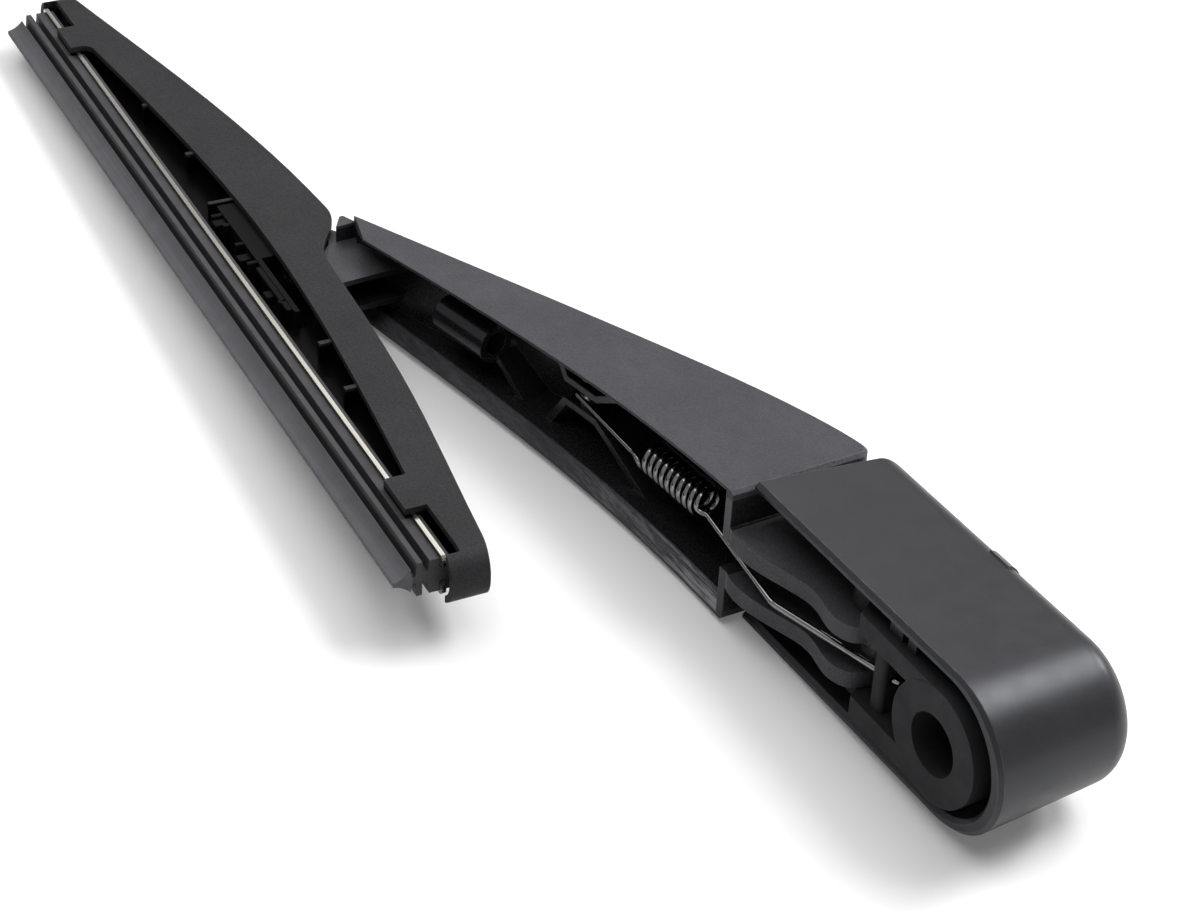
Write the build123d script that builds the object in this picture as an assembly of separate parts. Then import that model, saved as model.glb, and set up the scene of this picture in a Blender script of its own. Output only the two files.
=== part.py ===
from build123d import *
import os
from math import cos, sin, tan, radians, degrees, atan, hypot

# Rear wiper arm with its blade, all sizes in millimetres.
# X runs from the spindle towards the blade, +Y faces the window, Z is the width of the arm.
# The origin lies on the spindle axis, in the plane of the cover's rim.

# Clearances
run_gap = 0.05          # radial play of a pin in the part that turns on it
seat_gap = 0.02         # radial play of a pin in the part that holds it
pass_gap = 0.4          # side play between parts that turn past each other
slip_gap = 0.1          # play of parts that are pushed or slid together
weld = 0.5              # overlap of forms that become one piece

# Hinge between head and arm
hinge_x = 31.5
hinge_y = -8.5
hinge_r = 3.0
hinge_head_r = 4.4
hinge_head_t = 0.8
ear_boss_r = 5.6
cheek_boss_r = 6.2
cheek_in = 3.6          # half the space between the arm's cheeks
cheek_t = 3.8
ear_t = 4.6

# Spindle head
bore_r = 6.5
ring_r = 12.6
head_face_y = 1.5       # window side of the ring
head_back_y = -13.5     # outer side of the ring
ear_tip_x = 25.9
ear_fall = 0.5          # fall of the ears' window edge to their tip
web_t = 3.0
seat_wall_x = 18.5      # cross wall that the spring hooks into
seat_wall_t = 3.8
seat_wall_top = -0.4
seat_wall_round = 1.2
seat_leg_x = 2.1        # point of the spring's leg in front of the wall
seat_leg_drop = 1.1
seat_hole_play = 0.45

# Cover
cover_half = 17.3
cover_draft = 2.6       # degrees, the cover narrows towards its roof
cover_wall = 2.5
cover_roof_t = 2.2
cover_depth = 33.2
cover_end_x = -1.5      # centre of the round end
cover_end_in = 1.2      # extra wall at the round end
cover_edge_r = 6.0
cover_edge_in = 2.0     # bevel along the inner roof edge
cover_front_lean = 3.4  # how far the front edge leans back at the roof
seam_gap = 0.4
lug_x = 15.2
lug_w = 3.8
lug_h = 8.0
lug_pitch = 4.3
lug_w2 = 2.3            # width of the second lug
lug_sink = 0.8          # lugs below the rim
rim_break = 0.35        # share of the wall taken off each edge of the rim
pad_x = 24.4
pad_l = 5.8
pad_reach = 3.5         # how far it runs round the roof's edges
pad_h = 0.25

# Arm channel
root_x = 65.0
root_rim_y = 4.8
root_roof_y = -28.8
root_lean = -0.75
arm_half_root = 16.0
arm_half_tip = 10.0
arm_wall = 2.3
arm_roof_t = 2.4
root_round = 3.0        # rounded end of the roof at the cover
arm_edge = 0.8          # bevel along the roof's outer edges
rim_bevel_w = 1.6       # bevel along the inner edge of the walls, across the wall
rim_bevel_h = 3.4       # and down the wall
shoulder_t = 2.2
roof_knee_x = 112.0
roof_knee_y = -15.5
rim_knee_x = 112.0
rim_knee_y = 8.4
rim_root_slope = 0.02
rim_tip_slope = 0.21
roof_root_slope = 0.14
roof_tip_slope = 0.39
cheek_back_y = -17.0    # outer edge of the cheeks at the root
lip_l = 3.5             # lip of the arm that reaches under the cover
lip_thick = 2.0
lip_sink = 3.0          # depth of the lip below the arm's roof
lip_side_gap = 5.5      # lip to the cover's side walls
lip_break = 0.6
cheek_sag_x = 14.9      # the cheeks' window edge, from the hinge: its sag
cheek_sag = 2.5
cheek_dip_x = 8.4       # the hollow before its crest
cheek_dip_h = 9.7
cheek_crest_x = 2.5     # its crest
cheek_crest_h = 10.7
cheek_tip_x = -3.1      # and its end
cheek_tip_h = 9.5
cheek_slant = 17.0      # degrees, where its end runs into the hinge boss

# Ribs inside the arm
funnel_x0 = 103.0
funnel_x1 = 121.0
funnel_x2 = 131.0
funnel_x3 = 136.5
funnel_gap = 2.1        # half the slot that the spring's hook lies in
funnel_t = 1.6
funnel_drop = 7.3       # depth of the funnel's edge below the rim
tube_x = 153.0
tube_l = 16.5
tube_r = 4.5
tube_bore_r = 2.7
tube_floor = 1.0
tube_drop = 6.6         # depth of the tube's axis below the rim
brace_x = 144.0
brace_t = 1.4

# Arm tip and blade pivot
arm_reach = 204.8       # spindle axis to blade pivot, along X
pivot_drop = 33.5       # spindle origin to blade pivot, along Y
pivot_r = 2.5
eye_r = 5.2
eye_half = 3.3
eye_room = 8.6          # radius round the pivot that stays as thin as the eye
tongue_half = 4.4
tongue_l = 20.8         # pivot to the tongue's head-side edge
tongue_wall = 1.3
tongue_pocket = 11.0    # open inside of the tongue, from its head-side edge
tongue_low = 2.5        # pivot to the tongue's window-side edge
tongue_bend = 13.5      # pivot to the bend in that edge
tongue_fall = 0.4       # and how far the edge falls to it
nose_front = 2.0        # front corner of the tongue, past the pivot
nose_rise = 1.1         # and above the eye's room
eye_front = 17.5        # degrees, where the tongue runs into the eye in front
eye_back = 36.9         # and behind
tip_back = 3.5          # pivot to the end of the arm's roof
tip_rise = 14.2
tip_rake = 12.0         # how far the side walls end before the roof
tip_rim = 3.6
tip_wall = 4.0          # solid end of the channel
bridge_half = 8.6       # wide plate between the channel's end and the blade
bridge_in = 1.5
bridge_l = 2.2
bridge_drop = 5.0       # depth of the bridge at the channel
bridge_tip_t = 0.9      # depth of the bridge at the blade

# Tension spring
wire_r = 0.65
coil_r = 3.3            # mean radius of the turns
coil_lead = 25.0        # degrees past the window side where the turns begin, and before it where they end
coil_rounds = 10        # turns that are begun
coil_pitch = 2.0
coil_steps = 12         # straight lengths that make one turn
wire_sides = 6
coil_x = 82.0
coil_y = -1.6
coil_slope = 4.2        # degrees, towards the window
kink_x = 48.6
kink_y = 4.7
anchor_x = 127.5
anchor_drop = 10.4      # depth of the anchor pin below the rim
anchor_r = 1.5
bend_steps = 4          # straight lengths that make one bend of the wire
lead_slope = 0.135      # fall of the leg from the kink to the coil
lead_l = 3.4            # room for the bends at both ends of the turns
hook_l = 1.6            # end of the wire behind the head's cross wall

# Blade, drawn along its own axis S with T towards the window
blade_turn = -3.965     # degrees
pivot_s = -4.0          # pivot from the middle of the blade
pivot_t = -14.0         # pivot from the top of the rubber
frame_half = 6.4
frame_wall = 1.5
frame_roof_t = 1.6
frame_end = 129.5
frame_nose_r = 6.0
roof_end_t = -6.2       # roof height at both ends
roof_near_t = -17.4     # roof height beside the arm
roof_far_t = -25.9      # roof height past the arm
near_mid_s = -69.3      # the roof's point between the head-side end and the step
near_mid_t = -14.3
near_end_slope = 0.12   # slopes of the roof: at the head-side end
step_slope = 0.04       # before the step
far_slope = 0.06        # past the step
far_end_slope = 0.2     # and at the far end
far_end_sink = 1.6      # the far end's roof lies lower
step_s0 = -18.0         # the roof's step starts here
step_s1 = 4.0           # and ends here
slot_s0 = -33.0
slot_s1 = 1.0
claw_in = 99.0
claw_out = 110.0
notch_out = 126.0
claw_t = 3.6            # lower edge of the claws
cap_t = 2.0             # lower edge of the end caps
notch_top = -1.0
window_mid_t = -8.5
window_end_t = -1.2
window_slope = 0.11
window_round = 3.0      # rounded corner of the window at the far claw
hook_in = 4.25          # half the space between the claws' hooks
rib_t = 1.2
spine_low = -1.5        # lower edge of the rib along the middle of the bow
rib_stations = ((-89.0, -3.0), (-65.0, -2.0), (-47.0, -3.5), (40.0, -5.0), (66.0, -3.5))

# Connector in the blade
conn_back = 5.0         # pivot to the head-side edge of its cheeks
conn_len = 16.0
conn_top = -20.0
conn_low = -3.8
conn_wall = 1.2
conn_break = 2.0        # bevelled corners of its cheeks
tray_s0 = -32.5         # ends of the connector's base plate
tray_s1 = 15.0
pin_seat = 0.8          # depth of the pivot pin's ends in the frame's walls

# Rubber and its steel strips
rubber_half = 124.2
crown_t0 = 0.3
crown_t = 1.1
strip_t = 0.9
body_t = 2.2
neck_t = 1.5
fin_t = 1.2
hinge_gap_t = 1.2
lip_t = 3.8
rubber_w = 4.0
spine_w = 1.6
neck_w = 1.3
fold_w = 0.7
lip_w = 2.7
lip_tip_w = 0.45
groove_break = 0.3      # slanted sides of the grooves
waist_t = 1.5           # waist of the lip below its root
waist_w = 1.35
strip_half = 125.4

# Values that follow
cheek_out = cheek_in + cheek_t
ear_in = cheek_out + pass_gap
ear_out = ear_in + ear_t
tip_x = arm_reach - tip_back
tip_y = pivot_drop - tip_rise
rim_end_x = tip_x - tip_rake
rim_end_y = tip_y + tip_rim
tongue_x = arm_reach - tongue_l
frame_in = frame_half - frame_wall
strip_out = frame_in - slip_gap
strip_t0 = crown_t0 + crown_t + slip_gap / 2
coil_turns = coil_rounds - coil_lead / 180
coil_l = coil_turns * coil_pitch


def block(x0, x1, y0, y1, z0, z1):
    """A box between two corners."""
    return Pos((x0 + x1) / 2, (y0 + y1) / 2, (z0 + z1) / 2) * Box(x1 - x0, y1 - y0, z1 - z0)


def cross_pin(x, y, r, z0, z1):
    """A round bar along Z."""
    return Pos(x, y, (z0 + z1) / 2) * Cylinder(r, z1 - z0)


def both_sides(part):
    """A part and its mirror image across the middle plane."""
    return part + mirror(part, about=Plane.XY)


def side_prism(edges, half):
    """A side view outline, filled over the width."""
    return extrude(make_face(edges), amount=half, both=True)


def plan_prism(points, y0, y1):
    """An outline of (x, z) points, filled between two depths."""
    face = make_face(Polyline(*[(x, y0, z) for x, z in points], close=True))
    return extrude(face, amount=y1 - y0, dir=(0, 1, 0))


def arm_half(x):
    """Half the arm's width at a station."""
    return arm_half_root + (arm_half_tip - arm_half_root) * (x - root_x) / (tip_x - root_x)


def rim_curve(shift=0.0):
    """Window-side edge of the arm's walls, from the root to the tip."""
    return Spline((root_x, root_rim_y + shift), (rim_knee_x, rim_knee_y + shift),
                  (rim_end_x, rim_end_y + shift),
                  tangents=[(1, rim_root_slope), (1, rim_tip_slope)])


def roof_curve(shift=0.0):
    """Outer edge of the arm, from the tip to the root."""
    return Spline((tip_x, tip_y + shift), (roof_knee_x, roof_knee_y + shift),
                  (root_x + root_lean, root_roof_y + shift),
                  tangents=[(-1, -roof_tip_slope), (-1, -roof_root_slope)])


def curve_at(curve, x):
    """Height of a curve at a station."""
    low, high = (0.0, 1.0) if (curve @ 0).X < (curve @ 1).X else (1.0, 0.0)
    for _ in range(40):
        mid = (low + high) / 2
        if (curve @ mid).X < x:
            low = mid
        else:
            high = mid
    return (curve @ low).Y


def rim_at(x):
    """Height of the rim at a station."""
    return curve_at(rim_curve(), x)


def below_rim(drop):
    """Everything on the outer side of a line that follows the rim."""
    top = rim_curve(-drop)
    a, b = top @ 0, top @ 1
    deep = root_roof_y - cover_depth
    far = tip_x + tip_rake
    edges = [Line((a.X - tip_rake, a.Y), a), top, Line(b, (far, b.Y)), Line((far, b.Y), (far, deep)),
             Line((far, deep), (a.X - tip_rake, deep)), Line((a.X - tip_rake, deep), (a.X - tip_rake, a.Y))]
    return side_prism(edges, arm_half_root)


def plan_band(stations, inset, y0, y1):
    """A prism that tapers with the arm's width."""
    top = [(x, arm_half(x) - inset) for x in stations]
    low = [(x, -z) for x, z in reversed(top)]
    return plan_prism(top + low, y0, y1)


def make_head():
    ring = Rot(90, 0, 0) * Cylinder(ring_r, head_face_y - head_back_y)
    ring = Pos(0, (head_face_y + head_back_y) / 2, 0) * ring
    side = ear_boss_r * sin(radians(60))
    outline = Polyline((0, head_face_y), (ear_tip_x, head_face_y - ear_fall),
                       (hinge_x - ear_boss_r / 2, hinge_y + side),
                       (hinge_x + ear_boss_r / 2, hinge_y - side),
                       (hinge_x - ear_boss_r, head_back_y), (0, head_back_y), close=True)
    ear = extrude(make_face(outline), amount=ear_t)
    ear += Pos(hinge_x, hinge_y, ear_t / 2) * Cylinder(ear_boss_r, ear_t)
    ears = both_sides(Pos(0, 0, ear_in) * ear)
    ears &= block(-ring_r, hinge_x + ring_r, head_back_y - ring_r, head_face_y, -ear_out, ear_out)
    ears -= Pos(0, (head_face_y + head_back_y) / 2, 0) * (
        Rot(90, 0, 0) * Cylinder(ring_r - weld, 2 * (head_face_y - head_back_y)))
    wall_x1 = seat_wall_x + seat_wall_t
    web = block(0, wall_x1, head_back_y, head_back_y + web_t, -ear_in - weld, ear_in + weld)
    wall = block(seat_wall_x, wall_x1, head_back_y, seat_wall_top, -ear_in - weld, ear_in + weld)
    wall = fillet(wall.edges().filter_by(Axis.Z).group_by(Axis.Y)[-1], seat_wall_round)
    head = ring + ears + web + wall
    bore = Rot(90, 0, 0) * Cylinder(bore_r, 3 * (head_face_y - head_back_y))
    head -= bore
    head -= cross_pin(hinge_x, hinge_y, hinge_r + seat_gap, -2 * ear_out, 2 * ear_out)
    leg = leg_line()
    way = Line(leg[0], leg[1])
    tube = sweep(Plane(way @ 0, z_dir=way % 0) * Circle(wire_r + seat_hole_play), path=way)
    head -= tube
    return head


def leg_line():
    """Line of the spring's straight leg where it passes the head's cross wall."""
    hook_x = seat_wall_x - 2 * wire_r
    end_x = seat_wall_x + seat_wall_t + seat_leg_x
    end_y = seat_wall_top - seat_leg_drop
    rise = (kink_y - end_y) / (kink_x - end_x)
    return (hook_x, kink_y - rise * (kink_x - hook_x), 0), (end_x, end_y, 0)


def make_hinge_pin():
    pin = cross_pin(hinge_x, hinge_y, hinge_r, -ear_out - seat_gap, ear_out + seat_gap)
    head = cross_pin(hinge_x, hinge_y, hinge_head_r, ear_out + seat_gap, ear_out + seat_gap + hinge_head_t)
    return pin + both_sides(head)


def cover_half_at(y):
    """Half the cover's outer width at a depth."""
    return cover_half + y * tan(radians(cover_draft))


def cover_form(inset, depth, front, end_x=cover_end_x):
    """A drafted trough with one round end, filled from the rim to a depth."""
    half = cover_half - inset
    outline = [Line((end_x, half), (front, half)), Line((front, half), (front, -half)),
               Line((front, -half), (end_x, -half)),
               ThreePointArc((end_x, -half), (end_x - half, 0), (end_x, half))]
    form = extrude(Plane.XZ * make_face(outline), amount=depth)
    sides = form.faces().filter_by(lambda f: abs(f.normal_at().Y) < 0.5)
    return draft(sides, Plane.XZ, cover_draft)


def make_cover():
    front = root_x - seam_gap
    past = front + cover_front_lean
    form = cover_form(0.0, cover_depth, past)
    lean = make_face(Polyline((front, 0), (past, 0), (past, -cover_depth),
                              (front - cover_front_lean, -cover_depth), close=True))
    form -= extrude(lean, amount=2 * cover_half, both=True)
    form = fillet(form.faces().sort_by(Axis.Y)[0].edges(), cover_edge_r)
    inner_end = cover_end_x + cover_end_in
    inside = cover_form(cover_wall, cover_depth - cover_roof_t, past + cover_front_lean, inner_end)
    inner_roof = inside.faces().sort_by(Axis.Y)[0]
    inside = chamfer(inner_roof.edges().sort_by(Axis.X)[:-1], cover_edge_in)
    cover = form - inside
    rim = cover.faces().sort_by(Axis.Y)[-1]
    cover = chamfer(rim.edges().filter_by(lambda e: e.length > 2 * cover_wall), cover_wall * rim_break)
    lug_z = ear_out + slip_gap
    for shift, width in ((0.0, lug_w), (-lug_pitch, lug_w2)):
        start = lug_x + shift
        lug = block(start, start + width, -lug_h, -lug_sink, lug_z, cover_half - cover_wall / 2)
        cover += both_sides(lug)
    return cover + make_pad(past)


def make_pad(past):
    """Low band across the roof and round its edges."""
    form = cover_form(-pad_h, cover_depth + pad_h, past)
    form = fillet(form.faces().sort_by(Axis.Y)[0].edges().filter_by(Axis.X), cover_edge_r)
    inner = cover_half_at(-cover_depth) - cover_wall
    x0, x1 = pad_x - pad_l / 2, pad_x + pad_l / 2
    pad = form & block(x0, x1, -cover_depth - 2 * pad_h, -cover_depth + pad_reach, -cover_half, cover_half)
    return pad - block(x0 - weld, x1 + weld, -cover_depth + cover_roof_t / 2, 0, -inner, inner)


def arm_shell():
    rim = rim_curve()
    roof = roof_curve()
    edges = [rim, Line(rim @ 1, roof @ 0), roof, Line(roof @ 1, rim @ 0)]
    deep = root_roof_y - cover_depth
    side = fillet(make_face(edges).vertices().sort_by(Axis.Y)[0], root_round)
    body = extrude(side, amount=arm_half_root, both=True)
    body &= plan_band((root_x - 1, tip_x + 1), 0.0, deep, 2 * pivot_drop)
    long_edges = body.edges().filter_by(lambda e: e.length > (tip_x - root_x) * 0.6)
    roof_edges = long_edges.filter_by(lambda e: abs(e.center().Z) > 1).sort_by(Axis.Y)[0:2]
    return chamfer(roof_edges, arm_edge)


def arm_hollow():
    """The channel's inside, open to the window."""
    roof = roof_curve(arm_roof_t)
    a = roof @ 0
    b = roof @ 1
    front = root_x + shoulder_t
    out = 2 * pivot_drop
    edges = [roof, Line(b, (b.X, out)), Line((b.X, out), (a.X, out)), Line((a.X, out), a)]
    hollow = side_prism(edges, arm_half_root)
    hollow &= plan_band((front, tip_x - tip_wall), arm_wall, root_roof_y - cover_depth, 2 * pivot_drop)
    return hollow


def bevel_wall(arm, side):
    """Bevel the inner edge of one of the channel's walls."""
    def inner(shape):
        middle = shape.center()
        return 0 < side * middle.Z < arm_half(middle.X) - arm_wall / 2
    wall = arm.faces().filter_by(GeomType.PLANE).filter_by(inner).sort_by(SortBy.AREA)[-1]
    edge = wall.edges().filter_by(lambda e: e.length > rim_end_x - rim_knee_x).sort_by(Axis.Y)[-1]
    return chamfer(edge, rim_bevel_h, rim_bevel_w, reference=wall)


def make_arm():
    shell = arm_shell()
    arm = shell - arm_hollow()
    for side in (1, -1):
        arm = bevel_wall(arm, side)
    # cheeks that reach back to the hinge
    start = (root_x + weld, root_rim_y - pass_gap / 2)
    edge = Spline(start, (hinge_x + cheek_sag_x, root_rim_y - cheek_sag),
                  (hinge_x + cheek_dip_x, hinge_y + cheek_dip_h),
                  (hinge_x + cheek_crest_x, hinge_y + cheek_crest_h),
                  (hinge_x + cheek_tip_x, hinge_y + cheek_tip_h))
    slant = radians(cheek_slant)
    low = (hinge_x - cheek_boss_r * cos(slant), hinge_y + cheek_boss_r * sin(slant))
    end = Spline(edge @ 1, low, tangents=[edge % 1, (-sin(slant), -cos(slant))])
    foot = (hinge_x, hinge_y - cheek_boss_r)
    root = (root_x + shoulder_t, cheek_back_y)
    top = (root_x + shoulder_t, start[1])
    cheek = extrude(make_face([edge, end, Line(end @ 1, (hinge_x, hinge_y)), Line((hinge_x, hinge_y), foot),
                               Line(foot, root), Line(root, top), Line(top, edge @ 0)]), amount=cheek_t)
    cheek += Pos(hinge_x, hinge_y, cheek_t / 2) * Cylinder(cheek_boss_r, cheek_t)
    arm += both_sides(Pos(0, 0, cheek_in) * cheek)
    arm -= block(root_x - shoulder_t, root_x + 2 * shoulder_t, cheek_back_y, 2 * root_rim_y,
                 -cheek_in, cheek_in)
    arm -= cross_pin(hinge_x, hinge_y, hinge_r + run_gap, -2 * cheek_out, 2 * cheek_out)
    lip_y = root_roof_y + lip_sink
    lip_half = cover_half_at(root_roof_y) - cover_wall - lip_side_gap
    lip = block(root_x - lip_l, root_x + shoulder_t, lip_y, lip_y + lip_thick, -lip_half, lip_half)
    arm += chamfer(lip.edges().filter_by(Axis.Z).group_by(Axis.X)[0], lip_break)
    return arm + arm_ribs(shell) + make_tongue()


def wall_run(points, thick, y0, y1):
    """A wall of even thickness that follows (x, z) points."""
    wall = None
    for start, end in zip(points[:-1], points[1:]):
        dx, dz = end[0] - start[0], end[1] - start[1]
        run = hypot(dx, dz)
        nx, nz = -dz / run * thick / 2, dx / run * thick / 2
        quad = [(start[0] + nx, start[1] + nz), (end[0] + nx, end[1] + nz),
                (end[0] - nx, end[1] - nz), (start[0] - nx, start[1] - nz)]
        piece = plan_prism(quad, y0, y1)
        wall = piece if wall is None else wall + piece
    for x, z in points[1:-1]:
        wall += Pos(x, (y0 + y1) / 2, z) * (Rot(90, 0, 0) * Cylinder(thick / 2, y1 - y0))
    return wall


def arm_ribs(shell):
    deep = root_roof_y - weld
    out = pivot_drop
    mid = funnel_gap + funnel_t / 2
    funnel = wall_run([(funnel_x0, arm_half(funnel_x0) - arm_wall / 2), (funnel_x1, mid), (funnel_x2, mid),
                       (funnel_x3, arm_half(funnel_x3) - arm_wall / 2)], funnel_t, deep, out)
    funnel = both_sides(funnel & below_rim(funnel_drop))
    funnel -= cross_pin(anchor_x, rim_at(anchor_x) - anchor_drop, anchor_r + seat_gap, -2 * mid, 2 * mid)
    slope = degrees_of_rim(tube_x)
    axis = Pos(tube_x, rim_at(tube_x) - tube_drop, 0) * Rot(0, 0, slope) * Rot(0, 90, 0)
    tube = axis * (Pos(0, 0, tube_l / 2) * Cylinder(tube_r, tube_l))
    web = Pos(tube_x, rim_at(tube_x) - tube_drop, 0) * Rot(0, 0, slope) * (
        block(brace_t, tube_l, -2 * pivot_drop, 0, -brace_t, brace_t))
    brace = wall_run([(brace_x, arm_half(brace_x) - arm_wall / 2), (tube_x + brace_t, tube_r - brace_t)],
                     brace_t, deep, out)
    brace = both_sides(brace & below_rim(tube_drop + weld))
    tube = (tube + web + brace) & shell
    tube -= axis * (Pos(0, 0, tube_l / 2 - tube_floor) * Cylinder(tube_bore_r, tube_l))
    return (funnel & shell) + tube


def degrees_of_rim(x):
    """Slope of the rim at a station."""
    return degrees(atan((rim_at(x + 1) - rim_at(x - 1)) / 2))


def make_tongue():
    low_y = pivot_drop - tongue_low
    mid_roof = arm_roof_t / 2
    front, back = radians(eye_front), radians(eye_back)
    outline = [(tongue_x, curve_at(roof_curve(), tongue_x) + mid_roof),
               (tip_x - mid_roof, tip_y + mid_roof / 2),
               (arm_reach + nose_front, pivot_drop - eye_room - nose_rise),
               (arm_reach + eye_r * cos(front), pivot_drop - eye_r * sin(front)),
               (arm_reach - eye_r * cos(back), pivot_drop + eye_r * sin(back)),
               (arm_reach - tongue_bend, low_y + tongue_fall), (tongue_x, low_y)]
    tongue = extrude(make_face(Polyline(*outline, close=True)), amount=tongue_half, both=True)
    eye = cross_pin(arm_reach, pivot_drop, eye_r, -eye_half, eye_half)
    room = cross_pin(arm_reach, pivot_drop, eye_room, eye_half, 2 * tongue_half)
    tongue = tongue - both_sides(room) + eye + make_bridge()
    inside = tongue_half - tongue_wall
    tongue -= block(tongue_x - weld, tongue_x + tongue_pocket, tip_y - tip_rake, low_y - tongue_wall,
                    -inside, inside)
    tongue -= cross_pin(arm_reach, pivot_drop, pivot_r + run_gap, -2 * tongue_half, 2 * tongue_half)
    return tongue


def make_bridge():
    """Plate that carries the arm's roof on towards the blade."""
    fall = tip_y - curve_at(roof_curve(), tip_x - 1)
    start, end = tip_x - bridge_in, tip_x + bridge_l
    start_y = tip_y - fall * bridge_in + arm_edge
    end_y = tip_y + fall * bridge_l + arm_edge
    side = Polyline((start, start_y), (end, end_y), (end, end_y + bridge_tip_t),
                    (start, start_y + bridge_drop), close=True)
    return extrude(make_face(side), amount=bridge_half, both=True)


def make_anchor_pin():
    half = funnel_gap + funnel_t
    return cross_pin(anchor_x, rim_at(anchor_x) - anchor_drop, anchor_r, -half, half)


def wire_through(points):
    """A many-sided wire along points."""
    sections = []
    side = Vector(0, 0, 1)
    for i, point in enumerate(points):
        along = points[min(i + 1, len(points) - 1)] - points[max(i - 1, 0)]
        along = along.normalized()
        side = (side - along * side.dot(along)).normalized()
        sections.append(Plane(point, x_dir=side, z_dir=along) * RegularPolygon(wire_r, wire_sides))
    return loft(sections, ruled=True)


def make_spring():
    place = Pos(coil_x, coil_y, 0) * Rot(0, 0, coil_slope) * Rot(0, 90, 0) * Rot(0, 0, 90 + coil_lead)
    helix = place * Helix(pitch=coil_pitch, height=coil_l, radius=coil_r)
    hook_x, hook_y = leg_line()[0][:2]
    lead_x = coil_x - lead_l
    lead = Vector(lead_x, kink_y - lead_slope * (lead_x - kink_x), 0)
    bend_r = 2 * wire_r
    leg = FilletPolyline((hook_x, hook_y - hook_l, 0), (hook_x, hook_y, 0), (kink_x, kink_y, 0), lead,
                         radius=bend_r)
    tail = Spline(lead, helix @ 0, tangents=[(1, -lead_slope, 0), helix % 0])
    anchor_y = rim_at(anchor_x) - anchor_drop
    loop_r = anchor_r + wire_r + slip_gap
    top = (anchor_x, anchor_y + loop_r, 0)
    end = helix @ 1
    away = Vector(end.X + lead_l, end.Y, 0)
    out = Spline(end, away, tangents=[helix % 1, (1, 0, 0)])
    loop = CenterArc((anchor_x, anchor_y, 0), loop_r, 90, -200)
    runs = []
    for edge in leg.order_edges():
        runs.append((edge, 1 if edge.geom_type == GeomType.LINE else bend_steps))
    runs += [(tail, bend_steps), (helix, coil_rounds * coil_steps), (out, bend_steps),
             (Line(away, top), 1), (loop, 2 * bend_steps)]
    points = [leg @ 0]
    for curve, steps in runs:
        points += [curve @ (k / steps) for k in range(1, steps + 1)]
    return wire_through(points)


def on_blade(part):
    """Move a blade part from its own axes to the pivot on the arm."""
    turn = radians(blade_turn)
    x = arm_reach - pivot_s * cos(turn) + pivot_t * sin(turn)
    y = pivot_drop - pivot_s * sin(turn) - pivot_t * cos(turn)
    return Pos(x, y, 0) * Rot(0, 0, blade_turn) * part


def frame_roof(shift=0.0, end=frame_end):
    """Roof line of the blade frame, from the head-side end to the far end."""
    near = Spline((-end, roof_end_t + shift), (near_mid_s, near_mid_t + shift),
                  (step_s0, roof_near_t + shift), tangents=[(1, -near_end_slope), (1, -step_slope)])
    step = Spline((step_s0, roof_near_t + shift), (step_s1, roof_far_t + shift),
                  tangents=[(1, -step_slope), (1, far_slope)])
    far = Spline((step_s1, roof_far_t + shift), (end, roof_end_t + far_end_sink + shift),
                 tangents=[(1, far_slope), (1, far_end_slope)])
    return [near, step, far]


def frame_window():
    """Opening between the roof and the rubber."""
    curve = Spline((-claw_in, window_end_t), (0, window_mid_t), (claw_in, window_end_t),
                   tangents=[(1, -window_slope), (1, window_slope)])
    low = claw_t + frame_half
    return [curve, Line((claw_in, window_end_t), (claw_in, low)), Line((claw_in, low), (-claw_in, low)),
            Line((-claw_in, low), (-claw_in, window_end_t))]


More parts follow.
